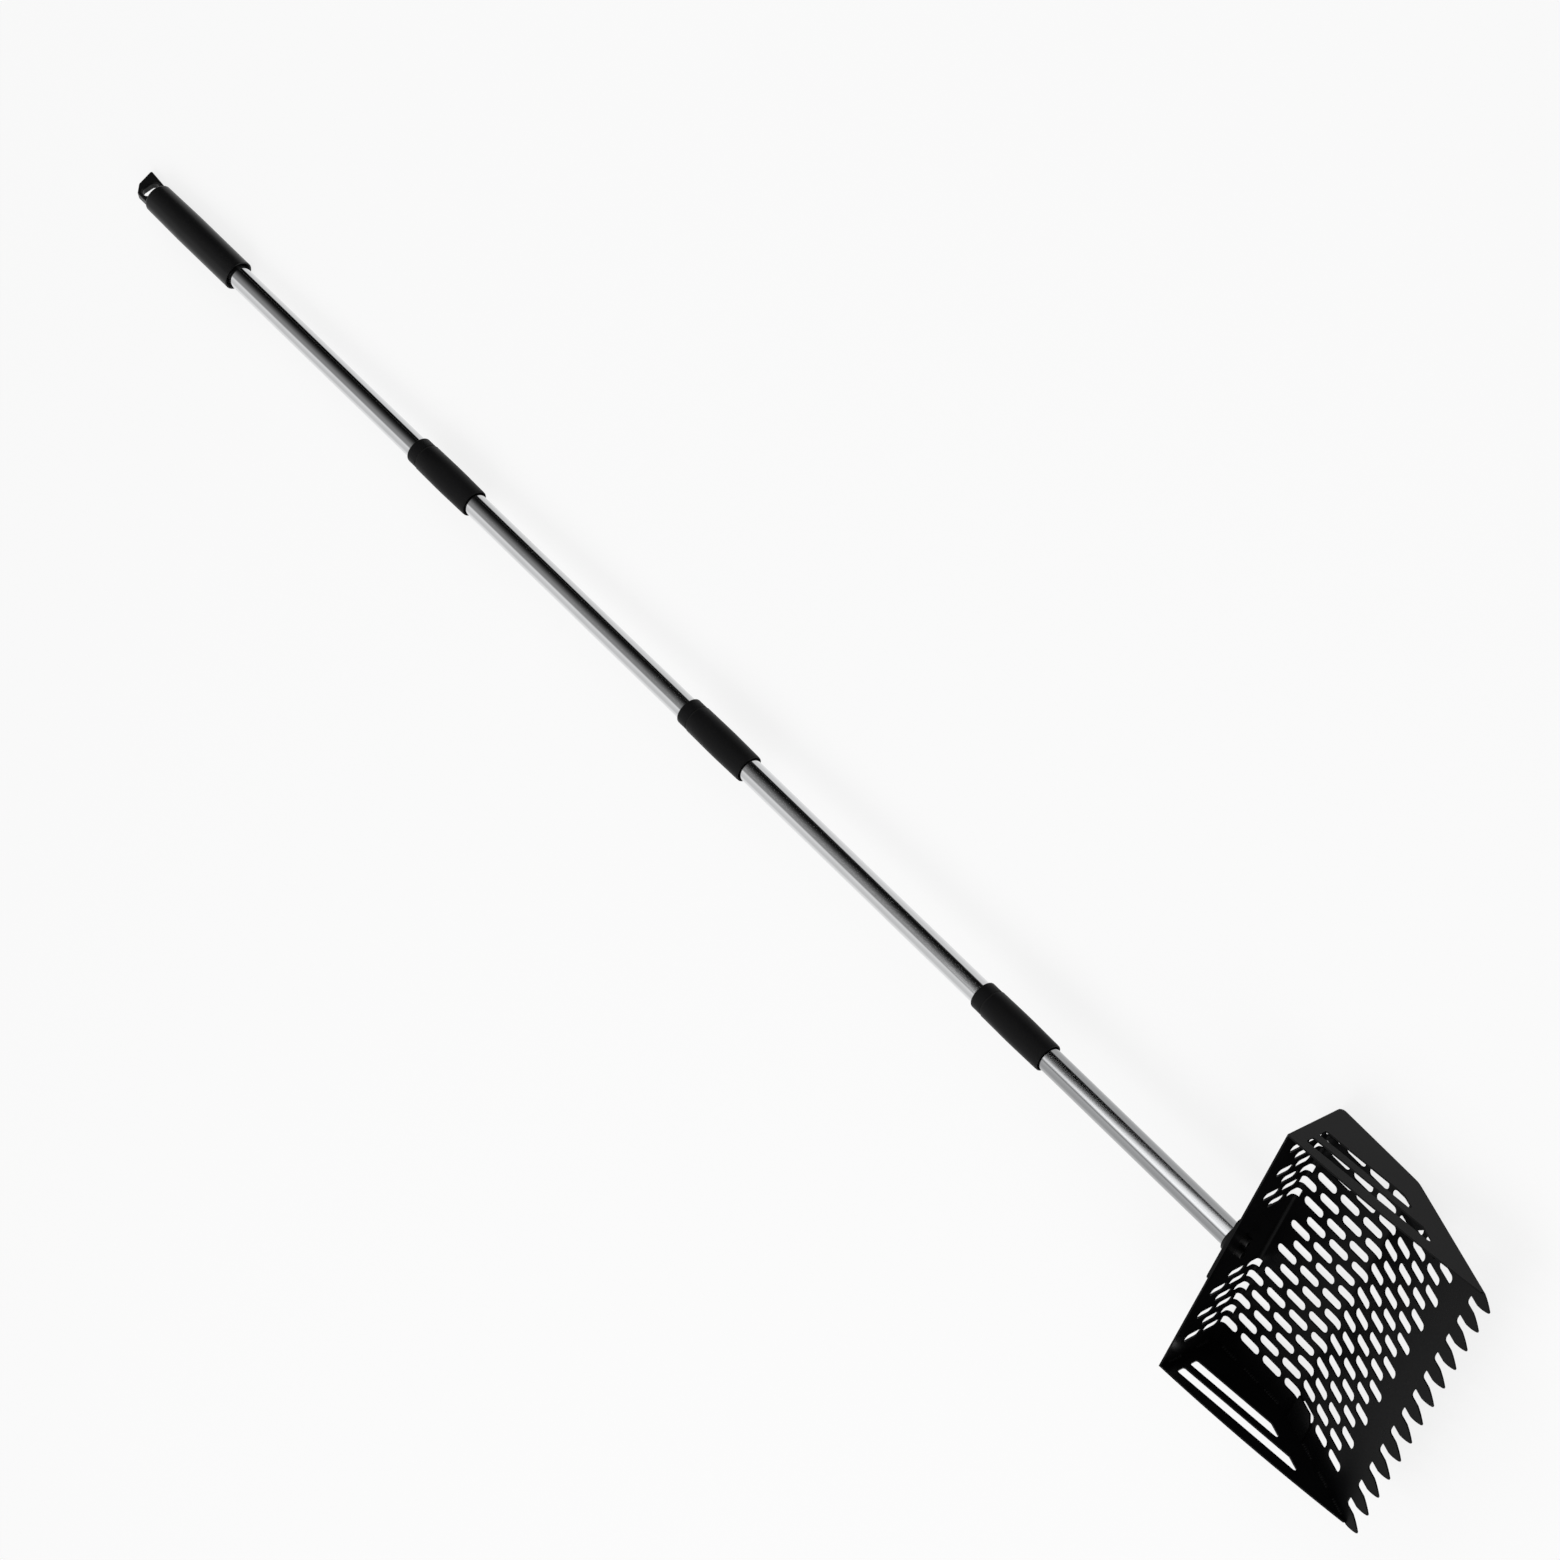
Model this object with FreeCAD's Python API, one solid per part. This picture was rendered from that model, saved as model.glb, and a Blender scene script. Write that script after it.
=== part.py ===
import FreeCAD, Part
import math
import os

# Sectional long-handled sifting scoop: a folded, slotted and toothed sheet-steel tray on a pole of
# four stainless tubes that screw together end to end. Millimetres.
#
# Tray frame: X across the tray, +Y towards the teeth, +Z up out of the tray. The tray's floor lies
# on the XY plane with its underside at Z = 0, and the sharp outer corner of its back fold is the X
# axis. At the end the whole object is tipped back until it lies on its back fold and its grip.

# Tray sheet
sheet_thickness = 1.5
tray_width = 244.0
wall_height = 75.0
floor_depth = 87.0
wall_lean = 7.0              # degrees that the back wall leans forward over the floor
front_rise = 21.0            # degrees that the front plate rises
back_bend_radius = 3.0       # inside radius
crease_bend_radius = 20.0    # inside radius

# Teeth along the front edge
tooth_count = 13
tooth_width = 11.8
tooth_root = 108.0           # from the crease to the bottom of the notches
tooth_shoulder = 119.5       # from the crease to where the flanks start to curve in
tooth_tip = 133.5            # from the crease to the points
tooth_point_width = 1.4
tooth_belly = 0.55           # how far each curved flank stands out of a straight one
notch_corner_radius = 2.6

# Slots punched in the flat sheet before it is folded
slot_length = 21.2
slot_width = 7.5
slot_pitch_across = 25.0
slot_pitch_along = 25.8
slot_first_row = 21.2        # from the back fold to the centres of the first whole row
slot_row_shift = 10.3        # the rows between, staggered by half a pitch
slot_row_count_behind = 3
slot_row_count_ahead = 5
wall_blank_half_width = 34.0 # the wall stays whole where the pole is fixed

# Side cheeks
cheek_thickness = 1.5
cheek_crown = 3.0            # how far the rim of a cheek bows upwards
cheek_nose_height = 1.6
cheek_slot_width = 10.4
cheek_rim_strip = 8.6
cheek_rib = 7.4
cheek_slot_back_margin = 10.5
cheek_slot_front_margin = 19.0
cheek_slot_corner = 2.0

# Corner tabs and weld runs
tab_reach = 23.0
tab_length = 27.0
tab_from_crease = 6.5
tab_thickness = 1.5
tab_chamfer = 7.0
weld_leg = 2.6
weld_run = 17.0
floor_weld_starts = (12.0, 38.0, 62.0)
front_weld_starts = (36.0, 66.0, 94.0)
wall_weld_starts = (10.0, 48.0)

# Pole
tube_diameter = 21.0
tube_wall = 0.8
tube_length = 330.5
foot_tube_length = 244.0
pole_rise = 2.0              # degrees between the tray's floor and the pole
pole_height = 51.0           # of the pole's axis above the tray's underside, at the wall

# Pole foot: doubler behind the wall, plug in the tube and two screws
doubler_width = 62.0
doubler_height = 50.0
doubler_thickness = 2.0
doubler_corner = 5.0
doubler_below_rim = 1.0
plug_flange_diameter = 25.4
plug_flange_thickness = 5.5
plug_depth = 30.0
plug_chamfer = 1.5
screw_diameter = 5.0
screw_spacing = 12.0
screw_depth = 18.0
screw_head_diameter = 8.5
screw_head_height = 5.0
screw_socket_flats = 4.0
screw_socket_depth = 2.5
screw_hole_clearance = 0.25
washer_diameter = 10.0
washer_thickness = 1.0

# Screw couplings
coupling_count = 3
sleeve_top_diameter = 26.0
sleeve_belly_diameter = 26.6
sleeve_belly_height = 30.0
collar_diameter = 25.2
sleeve_length = 67.0
sleeve_mouth_diameter = 25.4
sleeve_seat_depth = 30.0     # how deep the lower tube sits in the sleeve
sleeve_web = 3.0
sleeve_web_bore = 13.0
mouth_lip = 1.0              # the mouth's bore opens to a lip this thick
mouth_lip_depth = 5.0
thread_diameter = 18.6
thread_clearance = 0.08
thread_length = 30.0
thread_lead_in = 1.5
collar_length = 11.5
collar_shoulder_radius = 1.8
collar_seat_depth = 8.5      # how deep the upper tube sits in the collar
shank_length = 24.0          # of the plug inside the upper tube
plug_bore = 12.0
ring_thickness = 1.5
ring_diameter = 24.6
ring_clearance = 0.08

# Grip
grip_length = 125.0
grip_mouth_diameter = 28.4
grip_belly_diameter = 28.8
grip_belly_height = 75.0
grip_end_diameter = 27.4
grip_seat_depth = 56.0       # how deep the top tube sits in the grip
grip_bore_depth = 104.0
grip_shoulder_radius = 3.0
grip_lip = 1.2
grip_lip_depth = 4.0
hanger_thickness = 8.2
hanger_neck_width = 23.0
hanger_short_reach = 11.5
hanger_long_reach = 13.3
hanger_short_side = 13.5
hanger_slope_height = 21.5
hanger_slope_offset = 4.0
hanger_long_side = 26.0
hanger_corner_radius = 3.0
hanger_point_radius = 1.6
hanger_edge_radius = 1.2
hanger_turn = 56.0           # degrees about the pole's axis
hang_slot_length = 16.5
hang_slot_flare = 1.2         # chamfer round both mouths of the hole
hang_slot_width = 9.5
hang_slot_height = 8.5       # of its centre above the grip's shoulder

# Worked out from the sizes above
lean = math.radians(wall_lean)
rise = math.radians(front_rise)
climb = math.radians(pole_rise)
half_width = tray_width / 2
tooth_pitch = (tray_width - tooth_width) / (tooth_count - 1)
cheek_end = tooth_shoulder - 2.0
tube_bore = tube_diameter - 2 * tube_wall
coupling_length = sleeve_length + ring_thickness + collar_length
across = FreeCAD.Vector(1, 0, 0)
up_wall = FreeCAD.Vector(0, math.sin(lean), math.cos(lean))
out_of_wall = FreeCAD.Vector(0, -math.cos(lean), math.sin(lean))
along_front = FreeCAD.Vector(0, math.cos(rise), math.sin(rise))
above_front = FreeCAD.Vector(0, -math.sin(rise), math.cos(rise))
crease = FreeCAD.Vector(0, floor_depth, 0)
pole_axis = FreeCAD.Vector(0, -math.cos(climb), math.sin(climb))
pole_foot = FreeCAD.Vector(0, pole_height * math.tan(lean), pole_height)


def solid_from(points, direction):
    """The flat shape with these corners, pushed along a direction."""
    return Part.Face(Part.makePolygon(points + points[:1])).extrude(direction)


def rounded(shape, radius, wanted):
    """The shape with the edges that the test picks rounded off."""
    edges = [edge for edge in shape.Edges if wanted(edge)]
    return shape.makeFillet(radius, edges)


def runs_across(edge, point, reach=0.05):
    """Whether a straight edge along X passes a point of the YZ plane."""
    start, end = edge.Vertexes[0].Point, edge.Vertexes[-1].Point
    straight = abs(abs(end.x - start.x) - edge.Length) < 1e-6 and edge.Length > 0
    return straight and math.hypot(start.y - point.y, start.z - point.z) < reach


def crossing(first, first_way, second, second_way):
    """Where two lines of the YZ plane cross."""
    turn = first_way.y * second_way.z - first_way.z * second_way.y
    gap = second - first
    return first + first_way * ((gap.y * second_way.z - gap.z * second_way.y) / turn)


def on_wall(x, height, inward=0.0):
    return FreeCAD.Vector(x, 0, 0) + up_wall * height - out_of_wall * inward


def on_floor(x, depth, above=0.0):
    return FreeCAD.Vector(x, depth, above)


def on_front(x, distance, above=0.0):
    return FreeCAD.Vector(x, 0, 0) + crease + along_front * distance + above_front * above


inner_back = crossing(on_wall(0, 0, sheet_thickness), up_wall, on_floor(0, 0, sheet_thickness),
                      FreeCAD.Vector(0, 1, 0))
inner_crease = crossing(on_front(0, 0, sheet_thickness), along_front,
                        on_floor(0, 0, sheet_thickness), FreeCAD.Vector(0, 1, 0))


def folded_blank():
    """The tray sheet, folded, before anything is punched."""
    section = [on_wall(0, wall_height), FreeCAD.Vector(0, 0, 0), crease, on_front(0, tooth_tip),
               on_front(0, tooth_tip, sheet_thickness), inner_crease, inner_back,
               on_wall(0, wall_height, sheet_thickness)]
    start = across * -half_width
    blank = solid_from([point + start for point in section], across * tray_width)
    for point, radius in ((FreeCAD.Vector(0, 0, 0), back_bend_radius + sheet_thickness),
                          (inner_back, back_bend_radius),
                          (crease, crease_bend_radius + sheet_thickness),
                          (inner_crease, crease_bend_radius)):
        blank = rounded(blank, radius, lambda edge: runs_across(edge, point))
    return blank


def obround(start, end, through, radius):
    """A punch with round ends: centre line from start to end, pushed through both ways."""
    way = (end - start).normalize()
    side = way.cross(through).normalize() * radius
    tip = way * radius
    low = through * -1
    corners = [start + side, start - side, end - side, end + side]
    corners = [corner + low for corner in corners]
    edges = [Part.Arc(corners[0], start - tip + low, corners[1]).toShape(),
             Part.LineSegment(corners[1], corners[2]).toShape(),
             Part.Arc(corners[2], end + tip + low, corners[3]).toShape(),
             Part.LineSegment(corners[3], corners[0]).toShape()]
    return Part.Face(Part.Wire(edges)).extrude(through * 2)


def slot_punches(x, centre):
    """The punches of one slot of the flat sheet, after folding: one on each face that it is on."""
    radius = slot_width / 2
    first = centre - slot_length / 2 + radius
    last = centre + slot_length / 2 - radius
    reach = 3.5 + sheet_thickness
    middle = sheet_thickness / 2
    punches = []
    if first < 0:
        top, bottom = on_wall(x, -first, middle), on_wall(x, max(-last, 0.5), middle)
        punches.append(obround(top, bottom, out_of_wall * reach, radius))
    if last > 0 and first < floor_depth:
        near, far = max(first, 0.5), min(last, floor_depth - 0.5)
        up = FreeCAD.Vector(0, 0, reach)
        punches.append(obround(on_floor(x, near, middle), on_floor(x, far, middle), up, radius))
    if last > floor_depth:
        near = max(first - floor_depth, 0.5)
        start, end = on_front(x, near, middle), on_front(x, last - floor_depth, middle)
        punches.append(obround(start, end, above_front * reach, radius))
    return punches


def slot_places():
    """Centre of every slot, as x and its distance from the back fold along the sheet."""
    places = []
    for row in range(-slot_row_count_behind, slot_row_count_ahead + 1):
        staggered = slot_first_row + slot_pitch_along * row
        straight = staggered + slot_row_shift
        for along, offset in ((staggered, 0.5), (straight, 0.0)):
            if along - slot_length / 2 < -wall_height + slot_length / 2:
                continue
            reach = half_width - slot_width - 12.0
            for step in range(-8, 9):
                x = (step + offset) * slot_pitch_across
                on_blank = along < slot_length / 2 and abs(x) < wall_blank_half_width
                if abs(x) <= reach and not on_blank:
                    places.append((x, along))
    return places


def flank(x, side):
    """The curved flank of a tooth from its shoulder to its point; side is which half it is."""
    outer = x + side * tooth_width / 2
    inner = x + side * tooth_point_width / 2
    middle_x = (outer + inner) / 2 + side * tooth_belly
    middle = (tooth_shoulder + tooth_tip) / 2
    return outer, middle_x, middle, inner


def notch_cutter(left_tooth, right_tooth):
    """What is cut away between two teeth."""
    low = sheet_thickness * -2
    left_outer, left_middle, middle, left_inner = flank(left_tooth, 1)
    right_outer, right_middle, middle, right_inner = flank(right_tooth, -1)
    bend = notch_corner_radius
    soft = bend * (1 - math.sqrt(0.5))
    over = tooth_tip + 3.0

    def at(x, distance):
        return on_front(x, distance, low)

    edges = [
        Part.Arc(at(left_inner, tooth_tip), at(left_middle, middle), at(left_outer, tooth_shoulder)),
        Part.LineSegment(at(left_outer, tooth_shoulder), at(left_outer, tooth_root + bend)),
        Part.Arc(at(left_outer, tooth_root + bend), at(left_outer + soft, tooth_root + soft),
                 at(left_outer + bend, tooth_root)),
        Part.LineSegment(at(left_outer + bend, tooth_root), at(right_outer - bend, tooth_root)),
        Part.Arc(at(right_outer - bend, tooth_root), at(right_outer - soft, tooth_root + soft),
                 at(right_outer, tooth_root + bend)),
        Part.LineSegment(at(right_outer, tooth_root + bend), at(right_outer, tooth_shoulder)),
        Part.Arc(at(right_outer, tooth_shoulder), at(right_middle, middle),
                 at(right_inner, tooth_tip)),
        Part.LineSegment(at(right_inner, tooth_tip), at(right_inner, over)),
        Part.LineSegment(at(right_inner, over), at(left_inner, over)),
        Part.LineSegment(at(left_inner, over), at(left_inner, tooth_tip))]
    outline = Part.Wire([edge.toShape() for edge in edges])
    return Part.Face(outline).extrude(above_front * (sheet_thickness * 5))


def side_cutter(side):
    """What is cut away outside the last tooth on one side."""
    tooth = side * (half_width - tooth_width / 2)
    outer, middle_x, middle, inner = flank(tooth, side)
    low = sheet_thickness * -2
    over = tooth_tip + 3.0
    beyond = side * (half_width + 5.0)
    edges = [
        Part.Arc(on_front(outer, tooth_shoulder, low), on_front(middle_x, middle, low),
                 on_front(inner, tooth_tip, low)),
        Part.LineSegment(on_front(inner, tooth_tip, low), on_front(inner, over, low)),
        Part.LineSegment(on_front(inner, over, low), on_front(beyond, over, low)),
        Part.LineSegment(on_front(beyond, over, low), on_front(beyond, tooth_shoulder, low)),
        Part.LineSegment(on_front(beyond, tooth_shoulder, low),
                         on_front(outer, tooth_shoulder, low))]
    outline = Part.Wire([edge.toShape() for edge in edges])
    return Part.Face(outline).extrude(above_front * (sheet_thickness * 5))


def screw_places(depth=0.0):
    """The two screws' centres, on the wall's outer face or so deep inside it."""
    return [pole_foot + across * (side * screw_spacing / 2) - out_of_wall * depth
            for side in (-1, 1)]


def screw_holes(reach):
    """Clearance holes for the two screws, so far each way from the wall's outer face."""
    radius = screw_diameter / 2 + screw_hole_clearance
    return [Part.makeCylinder(radius, 2 * reach, place - out_of_wall * reach, out_of_wall)
            for place in screw_places()]


def tray_sheet(blank):
    """The folded, slotted and toothed sheet: back wall, floor and front plate."""
    cutters = []
    for x, along in slot_places():
        cutters.extend(slot_punches(x, along))
    first = -half_width + tooth_width / 2
    teeth = [first + tooth_pitch * number for number in range(tooth_count)]
    cutters.extend(notch_cutter(left, right) for left, right in zip(teeth, teeth[1:]))
    cutters.extend(side_cutter(side) for side in (-1, 1))
    cutters.extend(screw_holes(5.0))
    sheet = blank.cut(cutters)
    return sheet.Solids[0]


def cheek(side, blank):
    """One side of the tray: stands on the sheet, rim bowed, two long slots beside the rim."""
    outer = side * half_width
    start = across * (outer if side < 0 else outer - cheek_thickness)
    rim_back = on_wall(0, wall_height, sheet_thickness)
    rim_front = on_front(0, cheek_end, sheet_thickness + cheek_nose_height)
    chord = rim_front - rim_back
    chord_way = FreeCAD.Vector(chord).normalize()
    rim_up = FreeCAD.Vector(0, -chord_way.z, chord_way.y)
    rim_middle = rim_back + chord * 0.5 + rim_up * cheek_crown
    nose = on_front(0, cheek_end, sheet_thickness / 2)
    low_crease = on_front(0, 0, sheet_thickness / 2)
    low_back = on_wall(0, 0, sheet_thickness / 2)
    top_back = on_wall(0, wall_height, sheet_thickness / 2)
    edges = [Part.Arc(rim_back, rim_middle, rim_front).toShape()]
    outline = [rim_front, nose, low_crease, low_back, top_back, rim_back]
    edges.extend(Part.LineSegment(a, b).toShape() for a, b in zip(outline, outline[1:]))
    face = Part.Face(Part.Wire(edges))
    face.translate(start)
    panel = face.extrude(across * cheek_thickness).cut(blank).Solids[0]

    back_line = rim_back - out_of_wall * cheek_slot_back_margin
    front_line = on_front(0, 0, sheet_thickness + cheek_slot_front_margin)
    offset = cheek_rim_strip
    for number in range(2):
        top = rim_back - rim_up * offset
        bottom = top - rim_up * cheek_slot_width
        corners = [crossing(top, chord_way, back_line, up_wall),
                   crossing(top, chord_way, front_line, along_front),
                   crossing(bottom, chord_way, front_line, along_front),
                   crossing(bottom, chord_way, back_line, up_wall)]
        through = solid_from([corner + start - across for corner in corners],
                             across * (cheek_thickness + 2))
        through = rounded(through, cheek_slot_corner,
                          lambda edge: any(runs_across(edge, corner) for corner in corners))
        panel = panel.cut(through)
        offset += cheek_slot_width + cheek_rib
    return panel.Solids[0]


def corner_tab(side):
    """A small plate welded on the front plate and the cheek where the crease meets the cheek."""
    outer = side * (half_width - cheek_thickness)
    inner = outer - side * tab_reach
    near, far = tab_from_crease, tab_from_crease + tab_length
    corners = [(outer, near), (inner, near), (inner, far - tab_chamfer),
               (inner + side * tab_chamfer, far), (outer, far)]
    points = [on_front(x, distance, sheet_thickness) for x, distance in corners]
    return solid_from(points, above_front * tab_thickness)


def seam_welds(side):
    """Short fillet welds between one cheek and the sheet that it stands on."""
    x = side * (half_width - cheek_thickness)
    inner = x - side * weld_leg
    runs = []
    for start in front_weld_starts:
        base = on_front(x, start, sheet_thickness)
        points = [base, base + across * (inner - x), base + above_front * weld_leg]
        runs.append(solid_from(points, along_front * weld_run))
    for start in floor_weld_starts:
        base = on_floor(x, start, sheet_thickness)
        points = [base, base + across * (inner - x), base + FreeCAD.Vector(0, 0, weld_leg)]
        runs.append(solid_from(points, FreeCAD.Vector(0, weld_run, 0)))
    for start in wall_weld_starts:
        base = on_wall(x, start, sheet_thickness)
        points = [base, base + across * (inner - x), base - out_of_wall * weld_leg]
        runs.append(solid_from(points, up_wall * weld_run))
    return Part.makeCompound(runs)


def doubler_plate():
    """Stiffening plate welded behind the whole part of the wall, under the pole's foot."""
    top = wall_height - doubler_below_rim
    half = doubler_width / 2
    corners = [(-half, top), (half, top), (half, top - doubler_height),
               (-half, top - doubler_height)]
    plate = solid_from([on_wall(x, height) for x, height in corners],
                       out_of_wall * doubler_thickness)
    plate = rounded(plate, doubler_corner, lambda edge: abs(edge.Length - doubler_thickness) < 1e-6)
    return plate.cut(screw_holes(5.0)).Solids[0]


def along_pole(shape):
    """Moves a shape made along +Z on to the pole, its origin at the wall's outer face."""
    placed = shape.copy()
    turn = FreeCAD.Rotation(FreeCAD.Vector(1, 0, 0), 90 - pole_rise)
    placed.Placement = FreeCAD.Placement(pole_foot, turn).multiply(placed.Placement)
    return placed


def turned(profile):
    """A turned or moulded round piece from its half section, as (radius, height) corners."""
    points = [FreeCAD.Vector(radius, 0, height) for radius, height in profile]
    face = Part.Face(Part.makePolygon(points + points[:1]))
    return face.revolve(FreeCAD.Vector(0, 0, 0), FreeCAD.Vector(0, 0, 1), 360)


def circle_at(edge, radius, height):
    """Whether an edge is the circle of this radius about Z at this height."""
    if not isinstance(edge.Curve, Part.Circle):
        return False
    centre = edge.Curve.Center
    same_height = abs(centre.z - height) < 1e-4
    return same_height and abs(edge.Curve.Radius - radius) < 1e-4 and math.hypot(centre.x, centre.y) < 1e-4


flange_top = doubler_thickness / math.cos(lean - climb) + plug_flange_thickness
foot_tube_end = flange_top + foot_tube_length
coupling_spacing = tube_length - sleeve_seat_depth + coupling_length - collar_seat_depth
mouths = [foot_tube_end - sleeve_seat_depth + coupling_spacing * number
          for number in range(coupling_count)]
tube_starts = [mouth + coupling_length - collar_seat_depth for mouth in mouths]
grip_mouth = tube_starts[-1] + tube_length - grip_seat_depth


def pole_tube(start, length):
    """A stainless tube; its ends have their sharp edges broken."""
    outer = Part.makeCylinder(tube_diameter / 2, length)
    tube = outer.cut(Part.makeCylinder(tube_bore / 2, length))
    tube.translate(FreeCAD.Vector(0, 0, start))
    return tube


def foot_plug():
    """Steel plug in the foot of the pole, its flange cut to the wall's angle."""
    radius = tube_bore / 2
    profile = [(0, -6.0), (plug_flange_diameter / 2, -6.0), (plug_flange_diameter / 2, flange_top),
               (radius, flange_top), (radius, flange_top + plug_depth - plug_chamfer),
               (radius - plug_chamfer, flange_top + plug_depth), (0, flange_top + plug_depth)]
    plug = along_pole(turned(profile))
    outside = pole_foot + out_of_wall * doubler_thickness
    below = Part.makeCylinder(60.0, 40.0, outside - out_of_wall * 40.0, out_of_wall)
    holes = [Part.makeCylinder(screw_diameter / 2, screw_depth, place, out_of_wall)
             for place in screw_places(0.0)]
    return plug.cut([below] + holes).Solids[0]


def foot_screws():
    """Two socket-head screws, put in from inside the tray."""
    screws = []
    seat = sheet_thickness + washer_thickness
    for place in screw_places(seat):
        shank = Part.makeCylinder(screw_diameter / 2, seat + screw_depth, place, out_of_wall)
        head_end = place - out_of_wall * screw_head_height
        head = Part.makeCylinder(screw_head_diameter / 2, screw_head_height, head_end, out_of_wall)
        corner = screw_socket_flats / math.sqrt(3)
        points = []
        for number in range(6):
            angle = math.radians(60 * number)
            sideways = across * (corner * math.cos(angle)) + up_wall * (corner * math.sin(angle))
            points.append(head_end + sideways)
        socket = solid_from(points, out_of_wall * screw_socket_depth)
        screws.append(shank.fuse(head).cut(socket).removeSplitter().Solids[0])
    return Part.makeCompound(screws)


def foot_washers():
    """Two plain washers under the screw heads."""
    washers = []
    for place in screw_places(sheet_thickness + washer_thickness):
        disc = Part.makeCylinder(washer_diameter / 2, washer_thickness, place, out_of_wall)
        bore = Part.makeCylinder(screw_diameter / 2 + screw_hole_clearance, washer_thickness,
                                 place, out_of_wall)
        washers.append(disc.cut(bore))
    return Part.makeCompound(washers)


def coupling_sleeve(mouth):
    """Moulded sleeve fixed on the top of the lower tube: tube seat below, screw socket above."""
    seat = tube_diameter / 2
    socket = thread_diameter / 2 + thread_clearance
    mouth_radius = sleeve_mouth_diameter / 2
    belly_radius = sleeve_belly_diameter / 2
    top_radius = sleeve_top_diameter / 2
    web_top = sleeve_seat_depth + sleeve_web
    profile = [(mouth_radius - mouth_lip, 0), (mouth_radius, 0),
               (belly_radius, sleeve_belly_height), (top_radius, sleeve_length),
               (socket, sleeve_length), (socket, web_top), (sleeve_web_bore / 2, web_top),
               (sleeve_web_bore / 2, sleeve_seat_depth), (seat, sleeve_seat_depth),
               (seat, mouth_lip_depth)]
    sleeve = turned(profile)
    sleeve.translate(FreeCAD.Vector(0, 0, mouth))
    return sleeve


def coupling_plug(mouth):
    """Moulded plug fixed in the foot of the upper tube: shank, collar and screwed spigot."""
    bottom = mouth + sleeve_length + ring_thickness
    top = bottom + collar_length
    seat = top - collar_seat_depth
    shank = tube_bore / 2
    thread = thread_diameter / 2
    profile = [(plug_bore / 2, bottom - thread_length), (thread - thread_lead_in, bottom - thread_length),
               (thread, bottom - thread_length + thread_lead_in), (thread, bottom),
               (collar_diameter / 2, bottom), (collar_diameter / 2, top),
               (tube_diameter / 2, top), (tube_diameter / 2, seat), (shank, seat),
               (shank, seat + shank_length - thread_lead_in),
               (shank - thread_lead_in, seat + shank_length), (plug_bore / 2, seat + shank_length)]
    plug = turned(profile)
    return rounded(plug, collar_shoulder_radius,
                   lambda edge: circle_at(edge, collar_diameter / 2, top))


def seal_ring(mouth):
    """Rubber ring nipped between the sleeve's top and the plug's collar."""
    inner = thread_diameter / 2 + ring_clearance
    outer = ring_diameter / 2
    low = mouth + sleeve_length
    high = low + ring_thickness
    return turned([(inner, low), (outer, low), (outer, high), (inner, high)])


def grip():
    """Moulded grip: round and slightly tapered, with a flattened hanger at its closed end."""
    mouth_radius = grip_mouth_diameter / 2
    end_radius = grip_end_diameter / 2
    seat = tube_diameter / 2
    bore = seat - 1.5
    end = grip_mouth + grip_length
    profile = [(mouth_radius - grip_lip, grip_mouth), (mouth_radius, grip_mouth),
               (grip_belly_diameter / 2, grip_mouth + grip_belly_height), (end_radius, end),
               (0, end), (0, grip_mouth + grip_bore_depth),
               (bore, grip_mouth + grip_bore_depth), (bore, grip_mouth + grip_seat_depth),
               (seat, grip_mouth + grip_seat_depth), (seat, grip_mouth + grip_lip_depth)]
    body = turned(profile)
    body = rounded(body, grip_shoulder_radius, lambda edge: circle_at(edge, end_radius, end))
    half = hanger_thickness / 2
    sunk = end - 6.0
    outline = [(-hanger_neck_width / 2, sunk), (hanger_neck_width / 2, sunk),
               (hanger_neck_width / 2, end + 4.0), (hanger_short_reach, end + hanger_short_side),
               (hanger_slope_offset, end + hanger_slope_height), (-hanger_long_reach, end + hanger_long_side),
               (-hanger_neck_width / 2, end + 4.0)]
    points = [FreeCAD.Vector(x, -half, z) for x, z in outline]
    hanger = solid_from(points, FreeCAD.Vector(0, hanger_thickness, 0))
    hanger = rounded(hanger, hanger_corner_radius,
                     lambda edge: abs(edge.Length - hanger_thickness) < 1e-6
                     and edge.Vertexes[0].Point.z > end + 5.0 and edge.Vertexes[0].Point.x > 0)
    hanger = rounded(hanger, hanger_point_radius,
                     lambda edge: abs(edge.Length - hanger_thickness) < 1e-6
                     and edge.Vertexes[0].Point.z > end + hanger_long_side - 1e-6)
    hanger = rounded(hanger, hanger_edge_radius,
                     lambda edge: abs(edge.Vertexes[0].Point.y - edge.Vertexes[-1].Point.y) < 1e-6
                     and edge.CenterOfMass.z > end - 4.0)
    height = end + hang_slot_height
    reach = (hang_slot_length - hang_slot_width) / 2
    opening = obround(FreeCAD.Vector(-reach, 0, height), FreeCAD.Vector(reach, 0, height),
                      FreeCAD.Vector(0, hanger_thickness, 0), hang_slot_width / 2)
    hanger = hanger.cut(opening)
    mouth = [edge for edge in hanger.Edges if abs(edge.CenterOfMass.z - height) < hang_slot_width
             and abs(abs(edge.CenterOfMass.y) - half) < 1e-4 and abs(edge.CenterOfMass.x) < reach + 4.5
             and edge.BoundBox.ZMax < height + hang_slot_width / 2 + 0.1]
    hanger = hanger.makeChamfer(hang_slot_flare, mouth)
    hanger.rotate(FreeCAD.Vector(0, 0, 0), FreeCAD.Vector(0, 0, 1), hanger_turn)
    return body.fuse(hanger).removeSplitter().Solids[0]


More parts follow.
